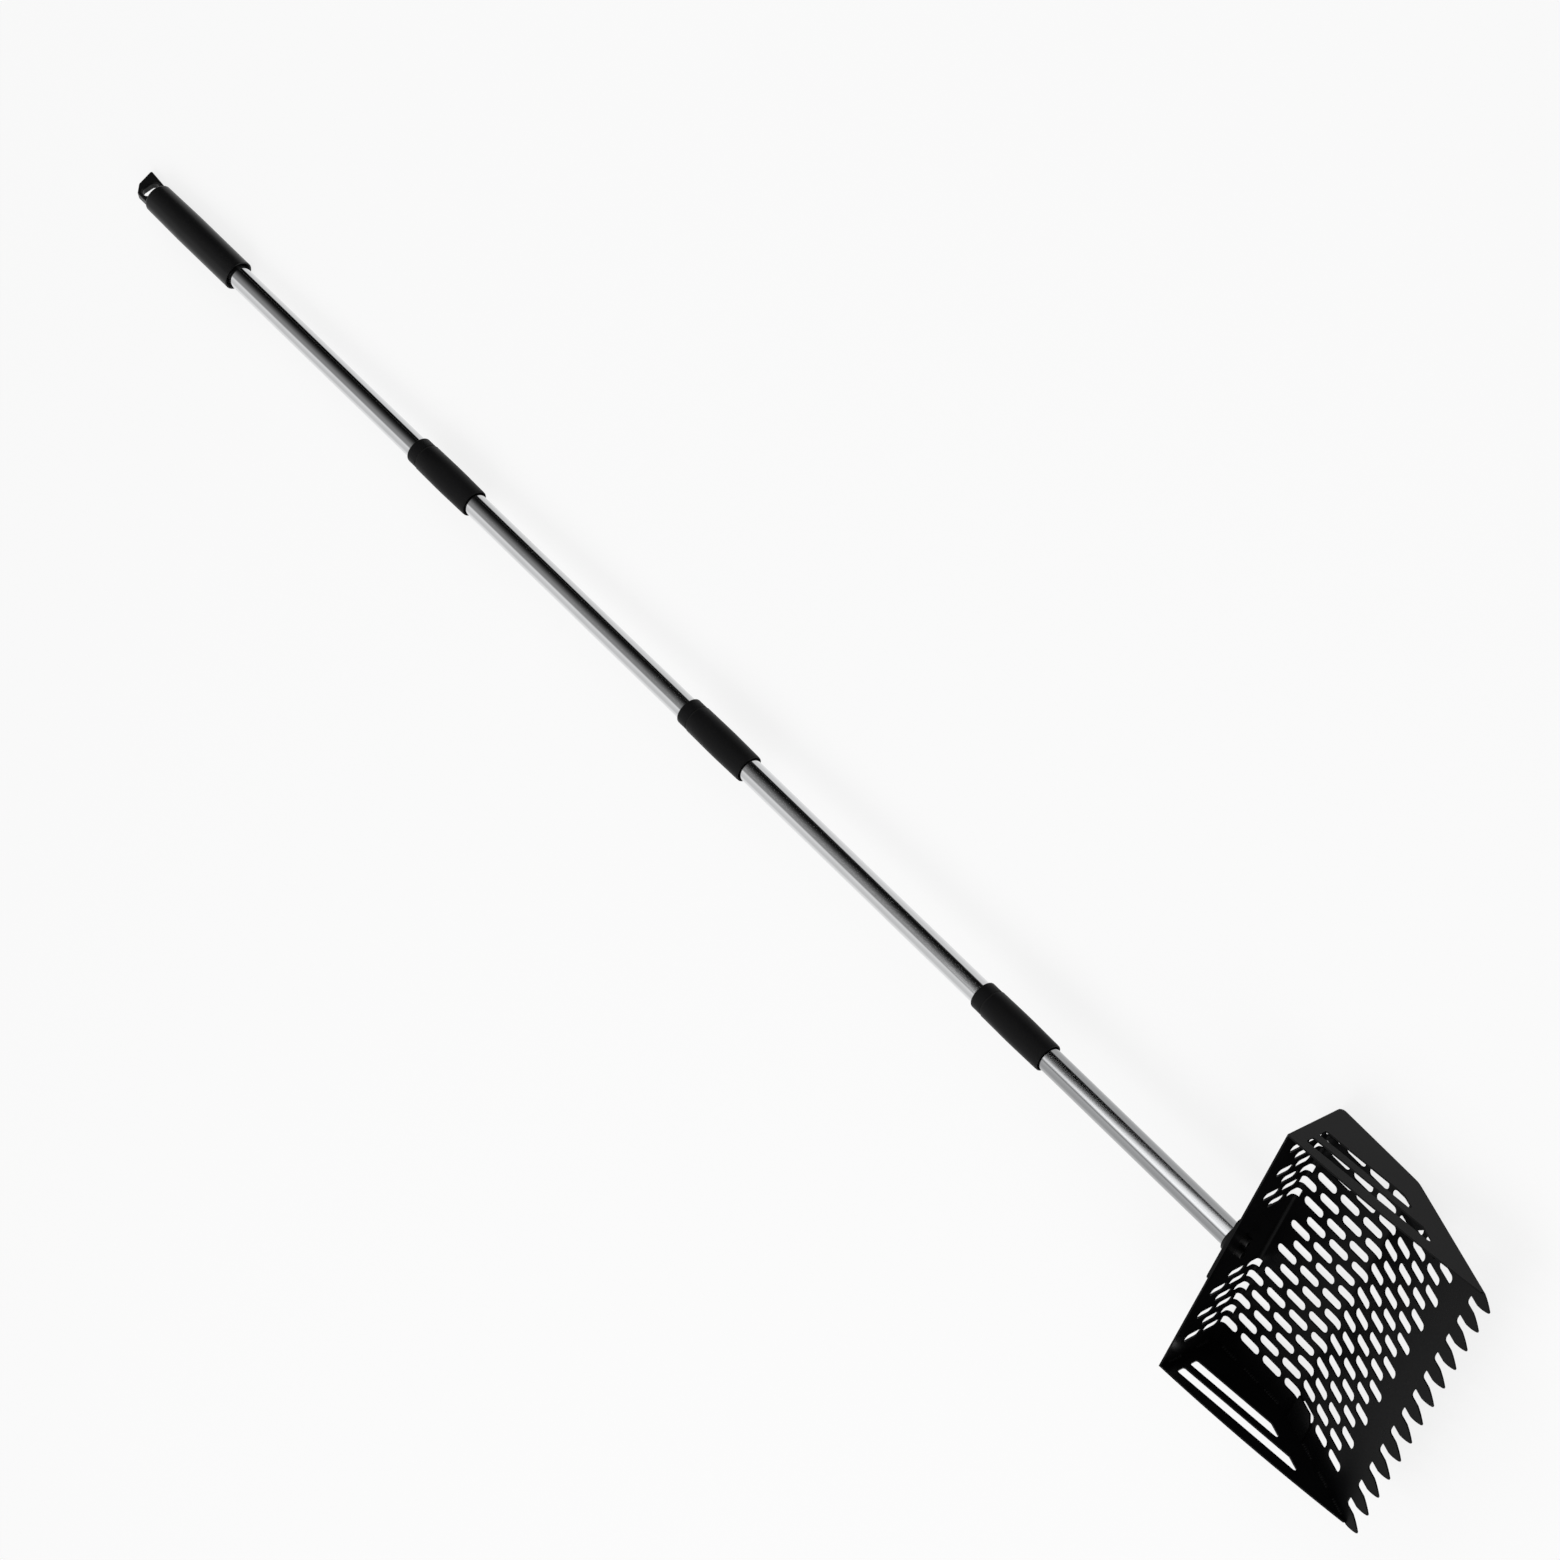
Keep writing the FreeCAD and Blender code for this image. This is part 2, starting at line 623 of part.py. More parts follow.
def resting_place():
    """How the object lies on the ground, on its back fold and the end of its grip.

    Both touch as circles in the plane of symmetry: the fold's outer bend, and the rounding of the
    grip's shoulder. The tangent below the two is the ground."""
    bend = back_bend_radius + sheet_thickness
    corner_angle = math.pi / 2 - lean
    fold = FreeCAD.Vector(0, bend / math.tan(corner_angle / 2), bend)
    shoulder = pole_foot + pole_axis * (grip_mouth + grip_length - grip_shoulder_radius)
    below = FreeCAD.Vector(0, -math.sin(climb), -math.cos(climb))
    taper = (grip_belly_diameter - grip_end_diameter) / 2 / (grip_length - grip_belly_height)
    shoulder_offset = grip_shoulder_radius * (math.hypot(1, taper) - taper)
    shoulder = shoulder + below * (grip_end_diameter / 2 - shoulder_offset)
    gap = shoulder - fold
    reach = math.hypot(gap.y, gap.z)
    tip = math.pi - math.atan2(gap.z, gap.y) - math.asin((grip_shoulder_radius - bend) / reach)
    turn = FreeCAD.Rotation(FreeCAD.Vector(1, 0, 0), math.degrees(tip))
    lift = bend - turn.multVec(fold).z
    return FreeCAD.Placement(FreeCAD.Vector(0, 0, lift), turn)


def build():
    """Every piece in its place in the tray's frame, by name."""
    blank = folded_blank()
    pieces = {"tray_sheet": tray_sheet(blank)}
    for name, side in (("left", -1), ("right", 1)):
        pieces[name + "_cheek"] = cheek(side, blank)
        pieces[name + "_corner_tab"] = corner_tab(side)
        pieces[name + "_seam_welds"] = seam_welds(side)
    pieces["doubler_plate"] = doubler_plate()
    pieces["foot_plug"] = foot_plug()
    pieces["foot_screws"] = foot_screws()
    pieces["foot_washers"] = foot_washers()
    pieces["foot_tube"] = along_pole(pole_tube(flange_top, foot_tube_length))
    names = ("lower", "middle", "upper")
    for name, mouth, start in zip(names, mouths, tube_starts):
        pieces[name + "_sleeve"] = along_pole(coupling_sleeve(mouth))
        pieces[name + "_seal_ring"] = along_pole(seal_ring(mouth))
        pieces[name + "_plug"] = along_pole(coupling_plug(mouth))
        pieces[name + "_tube"] = along_pole(pole_tube(start, tube_length))
    pieces["grip"] = along_pole(grip())
    return pieces


def placed(pieces):
    """The pieces as they lie on the ground, with the origin under the middle of the object."""
    rest = resting_place()
    lying = {}
    for name, shape in pieces.items():
        moved = shape.copy()
        moved.Placement = rest.multiply(moved.Placement)
        lying[name] = moved
    box = Part.makeCompound(list(lying.values())).optimalBoundingBox(False)
    shift = FreeCAD.Vector(0, -(box.YMin + box.YMax) / 2, 0)
    for shape in lying.values():
        shape.translate(shift)
    return lying, FreeCAD.Placement(shift, FreeCAD.Rotation()).multiply(rest)


lying, row_placement = placed(build())
os.makedirs("parts", exist_ok=True)
for name, shape in lying.items():
    shape.exportStep(os.path.join("parts", name + ".step"))
    print(name, "solids", len(shape.Solids), "valid", shape.isValid(),
          "volume", round(shape.Volume, 1))
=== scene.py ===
import bpy
import math
from mathutils import Matrix, Vector


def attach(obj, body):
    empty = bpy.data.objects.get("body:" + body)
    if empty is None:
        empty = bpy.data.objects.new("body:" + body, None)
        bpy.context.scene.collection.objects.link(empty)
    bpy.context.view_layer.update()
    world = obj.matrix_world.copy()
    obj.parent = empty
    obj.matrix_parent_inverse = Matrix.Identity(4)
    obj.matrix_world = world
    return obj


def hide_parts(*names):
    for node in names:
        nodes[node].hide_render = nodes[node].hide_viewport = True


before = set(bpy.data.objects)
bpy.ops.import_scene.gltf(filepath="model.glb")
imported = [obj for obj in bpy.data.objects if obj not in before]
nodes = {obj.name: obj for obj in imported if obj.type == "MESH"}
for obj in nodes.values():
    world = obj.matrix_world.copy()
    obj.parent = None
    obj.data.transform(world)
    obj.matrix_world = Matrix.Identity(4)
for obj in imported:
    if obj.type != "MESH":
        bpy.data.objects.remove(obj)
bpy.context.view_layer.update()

# Tray sheet. One piece of 1.5 mm mild steel, punched with staggered slots, notched into thirteen
# teeth, folded twice and then stove-enamelled gloss black. The enamel has a fine orange peel, pools
# a little in broad soft patches, and carries a thin haze of workshop dust.

sheet_black = (0.0026, 0.0026, 0.0028)
sheet_haze = (0.0046, 0.0046, 0.0049)
sheet_roughness = 0.24
enamel_sheen = 0.1
dust_share = 0.3                                    # of the haze; the patches give the rest
patch_dulling = 0.08                                # these three add to the roughness
dust_dulling = 0.06
peel_dulling = 0.04


class Value:
    """A number, colour or vector that a node gives; sums of numbers add their Math nodes."""

    def __init__(self, shading, socket):
        self.shading = shading
        self.socket = socket

    def __add__(self, other):
        return self.shading.math("ADD", self, other)

    def __sub__(self, other):
        return self.shading.math("SUBTRACT", self, other)

    def __rsub__(self, other):
        return self.shading.math("SUBTRACT", other, self)

    def __mul__(self, other):
        return self.shading.math("MULTIPLY", self, other)

    __radd__ = __add__
    __rmul__ = __mul__


class Shading:
    """The shader nodes of a material or of the room, emptied to start with."""

    def __init__(self, owner):
        owner.use_nodes = True
        self.tree = owner.node_tree
        self.tree.nodes.clear()

    def node(self, kind, settings, sockets, output=0):
        """Adds any node: its settings first, then the values or links of its sockets."""
        new = self.tree.nodes.new("ShaderNode" + kind)
        for name, value in settings.items():
            if name == "stops":
                ramp = new.color_ramp.elements
                while len(ramp) < len(value):
                    ramp.new(0.5)
                for stop, (position, grey) in zip(ramp, value):
                    stop.position = position
                    stop.color = (grey, grey, grey, 1)
            else:
                setattr(new, name, value)
        for key, value in sockets.items():
            if isinstance(value, Value):
                self.tree.links.new(value.socket, new.inputs[key])
            else:
                new.inputs[key].default_value = value
        return None if output is None else Value(self, new.outputs[output])

    def math(self, operation, first, second):
        return self.node("Math", {"operation": operation}, {0: first, 1: second})

    def ramp(self, value, *stops):
        """Reshapes a number: stops are (from, to)."""
        return self.node("ValToRGB", {"stops": stops}, {"Fac": value})


class Finish(Shading):
    """A material on a Principled shader, with what is the same all over given by name."""

    def __init__(self, name, **fixed):
        self.material = bpy.data.materials.new(name)
        super().__init__(self.material)
        surface = self.node("BsdfPrincipled", {}, {}, "BSDF")
        self.node("OutputMaterial", {}, {"Surface": surface}, None)
        self.shader = surface.socket.node
        for name, value in fixed.items():
            self.shader.inputs[name.replace("_", " ")].default_value = value
        self.place = self.node("TexCoord", {}, {}, "Object")

    def noise(self, scale, detail, place=None):
        """Soft random patches, so many to the metre."""
        sockets = {"Vector": place or self.place, "Scale": scale, "Detail": detail}
        return self.node("TexNoise", {}, sockets)

    def between(self, mask, low, high):
        """The colour that goes from low to high as the mask goes from 0 to 1."""
        return self.node("Mix", {"data_type": "RGBA"}, {0: mask, 6: (*low, 1), 7: (*high, 1)}, 2)

    def set(self, **links):
        """Links values to the shader's sockets."""
        for name, value in links.items():
            self.tree.links.new(value.socket, self.shader.inputs[name.replace("_", " ")])

    def bump(self, height, depth, strength):
        """Raises the surface by a height that goes from 0 to 1."""
        sockets = {"Height": height, "Distance": depth, "Strength": strength}
        self.set(Normal=self.node("Bump", {}, sockets))


def paint(name, black, haze, roughness):
    """Stoved enamel on steel: orange peel over 1 mm across, soft patches, and specks of dust."""
    finish = Finish(name, Specular_IOR_Level=enamel_sheen)
    peel = finish.noise(scale=700, detail=1.5)
    patches = finish.ramp(finish.noise(scale=26, detail=3), (0.35, 0), (0.7, 1))
    dust = finish.ramp(finish.noise(scale=2600, detail=0), (0.70, 0), (0.78, 1))
    hazed = patches * (1 - dust_share) + dust * dust_share
    dulled = patches * patch_dulling + dust * dust_dulling + peel * peel_dulling
    finish.set(Base_Color=finish.between(hazed, black, haze), Roughness=roughness + dulled)
    finish.bump(peel, depth=0.00005, strength=0.25)
    return finish.material


def coat(material, *names):
    """Gives CAD nodes a material."""
    for name in names:
        nodes[name].data.materials.clear()
        nodes[name].data.materials.append(material)


coat(paint("enamelled_sheet", sheet_black, sheet_haze, sheet_roughness), "tray_sheet")

# Cheeks and corner tabs. Flat blanks of the same sheet, welded along the edges of the folded tray;
# a small tab laps each corner where the crease meets the cheek. They are enamelled with the tray,
# and the cheeks, which hang on the outside in the oven, come out slightly softer in their gloss.

cheek_black = (0.0030, 0.0030, 0.0032)
cheek_haze = (0.0052, 0.0052, 0.0055)
cheek_roughness = 0.28
tab_black = (0.0040, 0.0040, 0.0042)
tab_haze = (0.0070, 0.0070, 0.0073)
tab_roughness = 0.26

cheek_paint = paint("enamelled_cheek", cheek_black, cheek_haze, cheek_roughness)
tab_paint = paint("enamelled_tab", tab_black, tab_haze, tab_roughness)
coat(cheek_paint, "left_cheek", "right_cheek")
coat(tab_paint, "left_corner_tab", "right_corner_tab")

# Weld beads. Short fillet runs inside the tray where each cheek stands on the sheet, laid by hand:
# a row of overlapping puddles, each a few millimetres long. They are enamelled with the tray, and
# the enamel is glossier on them.

weld_black = (0.0042, 0.0042, 0.0044)
weld_haze = (0.0090, 0.0090, 0.0093)
weld_roughness = 0.18
tray_origin = Vector((0, 0.6249083, -0.0003012))    # sharp corner of the back fold
tray_lean = math.radians(3.488902)                  # how far the tray leans back as it lies
front_rise = math.radians(21.0)                     # of the front plate, from the floor
wall_lean = math.radians(7.0)                       # of the wall over the floor, from square
floor_depth = 0.087                                 # from the back fold to the crease
cheek_inside = 0.1205                               # from the middle of the tray
sheet_thickness = 0.0015
weld_size = 0.0026
weld_run = 0.017
weld_offset = weld_size * 0.18                      # middle of a puddle from both faces
floor_welds = (0.012, 0.038, 0.062)                 # where each run starts
front_welds = (0.036, 0.066, 0.094)
wall_welds = (0.010, 0.048)
puddles = 7                                         # in each run
puddle_radius = weld_size * 0.62
puddle_stretch = (1.25, 0.8, 0.8)
puddle_nose = weld_size * 0.2                       # beyond it, a puddle is pushed forward
puddle_push = weld_size * 0.12
hand_wander = 0.00012                               # how far the hand strays from the corner
wander_step = 2.4                                   # radians from puddle to puddle
wander_shift = 900                                  # radians to the metre, between runs
size_swing = 0.08                                   # how much the puddles differ in size
swing_step = 1.7
swing_shift = 700


def deselect():
    """Leaves edit mode with nothing selected."""
    if bpy.context.object and bpy.context.object.mode == "EDIT":
        bpy.ops.object.mode_set(mode="OBJECT")
    bpy.ops.object.select_all(action="DESELECT")


def pick(piece):
    """Makes one piece the active and the only selected one."""
    deselect()
    bpy.context.view_layer.objects.active = piece
    piece.select_set(True)


def rename(piece, name):
    """Names a piece and its mesh."""
    piece.name = name
    piece.data.name = name
    return piece


def settle(piece, lie, name):
    """Puts a piece made at the origin in its place, with the place in its mesh."""
    pick(piece)
    piece.matrix_world = lie
    bpy.ops.object.transform_apply(location=True, rotation=True, scale=True)
    return rename(piece, name)


def joined(pieces, name):
    """Makes one object of several."""
    pick(pieces[0])
    for piece in pieces:
        piece.select_set(True)
    bpy.ops.object.join()
    return rename(pieces[0], name)


def finish_piece(piece, material, body, angle=35.0):
    """Gives a made piece its material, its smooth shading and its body."""
    pick(piece)
    bpy.ops.object.shade_smooth_by_angle(angle=math.radians(angle))
    piece.data.materials.clear()
    piece.data.materials.append(material)
    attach(piece, body)


def face_outwards():
    """Turns the active piece's faces outwards, and leaves edit mode."""
    bpy.ops.object.mode_set(mode="EDIT")
    bpy.ops.mesh.select_all(action="SELECT")
    bpy.ops.mesh.normals_make_consistent(inside=False)
    bpy.ops.object.mode_set(mode="OBJECT")


def puddle():
    """One puddle of weld: a low dome, its leading side pushed forward as the arc leaves it."""
    deselect()
    bpy.ops.mesh.primitive_uv_sphere_add(segments=10, ring_count=7, radius=puddle_radius)
    dome = bpy.context.object
    bpy.ops.object.mode_set(mode="EDIT")
    bpy.ops.mesh.select_all(action="SELECT")
    bpy.ops.transform.resize(value=puddle_stretch)
    bpy.ops.mesh.select_all(action="DESELECT")
    bpy.ops.object.mode_set(mode="OBJECT")
    for corner in dome.data.vertices:
        corner.select = corner.co.y > puddle_nose
    bpy.ops.object.mode_set(mode="EDIT")
    bpy.ops.transform.translate(value=(0, puddle_push, 0))
    bpy.ops.object.mode_set(mode="OBJECT")
    return dome


def weld_bead(start, along, across, above):
    """A run of puddles from start, lying in the corner between two faces.

    On half of the runs this mirrors them, which turns their faces inwards."""
    bead = []
    lie = Matrix((across.normalized(), along, above.normalized())).transposed().to_4x4()
    corner_turn = Matrix.Rotation(math.radians(45), 4, "Y")
    for number in range(puddles):
        step = (number + 0.5) / puddles
        wander = hand_wander * math.sin(number * wander_step + start.y * wander_shift)
        middle = start + along * (weld_run * step)
        middle += (across + above) * weld_offset + across * wander
        swing = math.sin(number * swing_step + start.z * swing_shift)
        size = 1 - size_swing + size_swing * swing
        place = Matrix.Translation(middle) @ lie @ corner_turn @ Matrix.Scale(size, 4)
        bead.append(settle(puddle(), place, "puddle"))
    return bead


floor_turn = Matrix.Rotation(tray_lean, 3, "X")
floor_along = floor_turn @ Vector((0, 1, 0))
floor_above = floor_turn @ Vector((0, 0, 1))
front_turn = floor_turn @ Matrix.Rotation(front_rise, 3, "X")
front_along = front_turn @ Vector((0, 1, 0))
front_above = front_turn @ Vector((0, 0, 1))
wall_turn = floor_turn @ Matrix.Rotation(-wall_lean, 3, "X")
wall_along = wall_turn @ Vector((0, 0, 1))
wall_inward = wall_turn @ Vector((0, 1, 0))
crease = tray_origin + floor_along * floor_depth
weld_lines = ((floor_welds, tray_origin, floor_along, floor_above),
              (front_welds, crease, front_along, front_above),
              (wall_welds, tray_origin, wall_along, wall_inward))

weld_paint = paint("enamelled_weld", weld_black, weld_haze, weld_roughness)
for side_name, side in (("left", -1), ("right", 1)):
    inward = Vector((-side, 0, 0))
    edge = Vector((side * cheek_inside, 0, 0))
    runs = []
    for places, origin, along, above in weld_lines:
        for place in places:
            start = origin + edge + along * place + above * sheet_thickness
            runs += weld_bead(start, along, inward, above)
    bead = joined(runs, side_name + "_weld_beads")
    face_outwards()
    finish_piece(bead, weld_paint, "scoop", 60)
    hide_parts(side_name + "_seam_welds")

# Doubler plate. A 2 mm plate with rounded corners, welded flat behind the unpunched middle of the
# wall, so that the two foot screws don't tear the thin sheet. Enamelled with the tray, and it takes
# more dust than the rest because it faces up when the tool hangs.

doubler_black = (0.0042, 0.0042, 0.0044)
doubler_haze = (0.0080, 0.0080, 0.0083)
doubler_roughness = 0.3

coat(paint("enamelled_doubler", doubler_black, doubler_haze, doubler_roughness), "doubler_plate")

# Foot plug. A turned steel plug, painted black; its flange is cut at a slant to sit on the doubler.
# Fine tool marks run around it.

plug_black = (0.0050, 0.0050, 0.0052)
plug_haze = (0.0095, 0.0095, 0.0095)
plug_sheen = 0.2
plug_roughness = 0.3
mark_dulling = 0.16
pole_foot = Vector((0, 0.6280551, 0.0509854))
pole_turn = math.radians(91.488902)                 # of the pole's axis, from straight up
pole_lie = Matrix.Translation(pole_foot) @ Matrix.Rotation(pole_turn, 4, "X")


def pole_noise(finish, across, along, detail):
    """Soft random patches on the pole, so many to the metre across it and along it."""
    turn = {"Vector": finish.place, "Rotation": (-pole_turn, 0, 0)}
    stretch = {"Vector": finish.node("Mapping", {}, turn), "Scale": (across, across, along)}
    return finish.noise(1.0, detail, finish.node("Mapping", {}, stretch))


plug_paint = Finish("painted_plug", Specular_IOR_Level=plug_sheen)
tool_marks = pole_noise(plug_paint, across=40, along=4200, detail=1)
plug_patches = plug_paint.noise(scale=90, detail=3)
plug_paint.set(Base_Color=plug_paint.between(plug_patches, plug_black, plug_haze),
               Roughness=plug_roughness + tool_marks * mark_dulling)
plug_paint.bump(tool_marks, depth=0.00008, strength=0.5)
coat(plug_paint.material, "foot_plug")

# Foot screws and washers. Two M5 socket-head cap screws, chemically blackened, put in from inside
# the tray on plain washers. The head has a knurled rim, a chamfered top and a hexagon socket.

oxide_dark = (0.03, 0.03, 0.033)
oxide_brown = (0.085, 0.083, 0.08)
oxide_roughness = 0.3
oxide_dulling = 0.22
screw_across = 0.006                                # each screw from the middle of the tray
screw_spin = 0.4                                    # radians that the hexagons stand turned
spin_apart = 0.3
screw_radius = 0.0025
screw_length = 0.0205                               # under the head, to the chamfered tip
tip_width = 0.0006
tip_height = 0.0008
head_radius = 0.00425
head_height = 0.005
head_chamfer = 0.0004
head_chamfer_height = 0.0005
fillet_width = 0.0001                               # under the head
fillet_height = 0.0002
socket_radius = 0.00231                             # to the hexagon's corners
socket_depth = 0.0025
socket_mouth = socket_radius * 1.12                 # round edge that the hexagon is drawn from
knurls = 30
knurl_pinch = 0.965                                 # radius of a groove to that of a ridge
washer_height = 0.001
merge_distance = 0.000002
hair = 1e-6                                         # what counts as no distance


def ring_up(radius, height, sides):
    """Starts a turned form in edit mode with a ring of points."""
    deselect()
    bpy.ops.mesh.primitive_circle_add(vertices=sides, radius=radius, fill_type="NOTHING",
                                      location=(0, 0, height))
    form = bpy.context.object
    bpy.ops.object.transform_apply(location=True, rotation=True, scale=True)
    bpy.ops.object.mode_set(mode="EDIT")
    bpy.ops.mesh.select_all(action="SELECT")
    return form


def draw_up(profile):
    """Extrudes the ring through the rest of a half section, given as (radius, height) corners."""
    for (radius, height), (next_radius, next_height) in zip(profile, profile[1:]):
        rise = (0, 0, next_height - height)
        bpy.ops.mesh.extrude_region_move(TRANSFORM_OT_translate={"value": rise})
        grow = next_radius / radius
        bpy.ops.transform.resize(value=(grow, grow, 1), center_override=(0, 0, next_height))


def close_up():
    """Merges the points that lie on each other and turns the faces outwards."""
    bpy.ops.mesh.select_all(action="SELECT")
    bpy.ops.mesh.remove_doubles(threshold=merge_distance)
    face_outwards()


def cap_screw():
    """A socket-head screw, its head's top at the origin, pointing along +Z."""
    head_top = (head_radius - head_chamfer, 0.0)
    head = ring_up(*head_top, knurls * 2)
    draw_up([head_top, (head_radius, head_chamfer_height), (head_radius, head_height),
             (screw_radius + fillet_width, head_height),
             (screw_radius, head_height + fillet_height),
             (screw_radius, head_height + screw_length),
             (screw_radius - tip_width, head_height + screw_length + tip_height)])
    bpy.ops.mesh.fill()
    bpy.ops.object.mode_set(mode="OBJECT")
    for corner in head.data.vertices:
        rim = abs(math.hypot(corner.co.x, corner.co.y) - head_radius) < hair
        turn = math.atan2(corner.co.y, corner.co.x) * knurls * 2 / math.tau
        if rim and corner.co.z < head_height - hair and round(turn) % 2:
            corner.co.x *= knurl_pinch
            corner.co.y *= knurl_pinch
    top = ring_up(*head_top, knurls * 2)
    draw_up([head_top, (socket_mouth, 0.0)])
    bpy.ops.object.mode_set(mode="OBJECT")
    for corner in top.data.vertices:
        if math.hypot(corner.co.x, corner.co.y) < socket_mouth + hair:
            turn = math.atan2(corner.co.y, corner.co.x) % (math.tau / 6) - math.tau / 12
            reach = socket_radius * math.cos(math.tau / 12) / math.cos(turn) / socket_mouth
            corner.co.x *= reach
            corner.co.y *= reach
        corner.select = math.hypot(corner.co.x, corner.co.y) < socket_mouth + hair
    bpy.ops.object.mode_set(mode="EDIT")
    bpy.ops.mesh.extrude_region_move(TRANSFORM_OT_translate={"value": (0, 0, socket_depth)})
    bpy.ops.mesh.edge_face_add()
    bpy.ops.object.mode_set(mode="OBJECT")
    screw = joined([head, top], "screw")
    bpy.ops.object.mode_set(mode="EDIT")
    close_up()
    return screw


black_oxide = Finish("blackened_steel", Metallic=1.0)
oxide_patches = black_oxide.noise(scale=900, detail=4)
black_oxide.set(Base_Color=black_oxide.between(oxide_patches, oxide_dark, oxide_brown),
                Roughness=oxide_roughness + oxide_patches * oxide_dulling)
black_oxide.bump(black_oxide.noise(scale=5200, detail=1), depth=0.00003, strength=0.4)
coat(black_oxide.material, "foot_washers")

tray_right = Vector((1, 0, 0))
screw_way = -wall_inward
screw_turn = Matrix((tray_right, screw_way.cross(tray_right), screw_way)).transposed().to_4x4()
head_stand = sheet_thickness + washer_height + head_height
screws = []
for side in (-1, 1):
    head_place = pole_foot + tray_right * (side * screw_across) - screw_way * head_stand
    spin = Matrix.Rotation(screw_spin + side * spin_apart, 4, "Z")
    lie = Matrix.Translation(head_place) @ screw_turn @ spin
    screws.append(settle(cap_screw(), lie, "screw"))
foot_screws = joined(screws, "socket_screws")
finish_piece(foot_screws, black_oxide.material, "scoop", 30)
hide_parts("foot_screws")

# Foot tube. Stainless tube, 21 mm across with a 0.8 mm wall, belt-ground along its length to a
# satin finish. The grinding leaves streaks a few centimetres long.

satin_dark = (0.38, 0.385, 0.395)
satin_light = (0.46, 0.465, 0.47)
satin_roughness = 0.07
streak_dulling = 0.07

satin = Finish("satin_stainless", Metallic=1.0)
satin_streaks = pole_noise(satin, across=1500, along=22, detail=3)
satin_patches = pole_noise(satin, across=60, along=9, detail=2)
satin.set(Base_Color=satin.between(satin_patches, satin_dark, satin_light),
          Roughness=satin_roughness + satin_streaks * streak_dulling)
satin.bump(satin_streaks, depth=0.00001, strength=0.15)
coat(satin.material, "foot_tube")

# Screw couplings. Each is two black mouldings. The sleeve is fixed on the lower tube, and its upper
# half is a screwed socket. The plug is fixed in the upper tube: a shank, a collar with a rounded
# shoulder, and a spigot with a coarse right-hand thread.

coupling_black = (0.0062, 0.0062, 0.0065)
coupling_grey = (0.0098, 0.0098, 0.0102)
coupling_roughness = 0.36
coupling_grain = 1500
coupling_sheen = 0.08
flow_dulling = 0.08                                 # on the grip too
grain_dulling = 0.08
sleeve_mouths = (0.2215076, 0.5935076, 0.9655076)   # along the pole, from its foot
tube_radius = 0.0105
tube_bore = 0.0097
sleeve_length = 0.067
mouth_radius = 0.0127
mouth_land = 0.001                                  # flat rim around the mouth
mouth_height = 0.0022
mouth_flare = 0.005                                 # how far in the mouth is flared
belly_radius = 0.0133
belly_height = 0.030
belly_swell = 0.0002                                # first and last part of the swelling
belly_start = belly_height * 0.55
belly_end = belly_height * 1.3
top_radius = 0.013
seat_depth = 0.030
web_top = 0.033                                     # of the web between the tube and the thread
web_bore = 0.0065
screwed_chamfer = 0.0004
screwed_chamfer_height = 0.0006
ring_height = 0.0015                                # of the seal between sleeve and collar
collar_radius = 0.0126
collar_height = 0.0115
collar_seat = 0.0085                                # depth of the tube in the collar
collar_edge = 0.0003
collar_edge_height = 0.0004
shoulder = ((0.0, 0.0018), (0.0002, 0.0010), (0.0007, 0.0004), (0.0014, 0.0))    # in, down
plug_bore = 0.006
plug_shank = 0.024
shank_chamfer = 0.0015
spigot_root = 0.003                                 # how far the body reaches into the spigot
thread_radius = 0.0093
thread_gap = 0.00008
thread_depth = 0.0011
thread_pitch = 0.004
thread_length = 0.030
thread_steps = 40                                   # in a turn
thread_spare = 3                                    # turns more, which the cuts take off
round_sides = 64
sleeve_rounding = 0.0003
plug_rounding = 0.00015
rounding_segments = 2
sharp_angle = math.radians(40)                      # what is sharper is rounded


def turned(profile):
    """A turned or moulded round form, closed, from its half section."""
    form = ring_up(*profile[0], round_sides)
    draw_up(profile + profile[:1])
    close_up()
    return form


def softened(form, width):
    """Rounds a form's sharp edges."""
    soft = form.modifiers.new("soft", "BEVEL")
    soft.width = width
    soft.segments = rounding_segments
    soft.limit_method = "ANGLE"
    soft.angle_limit = sharp_angle
    pick(form)
    bpy.ops.object.modifier_apply(modifier="soft")
    return form


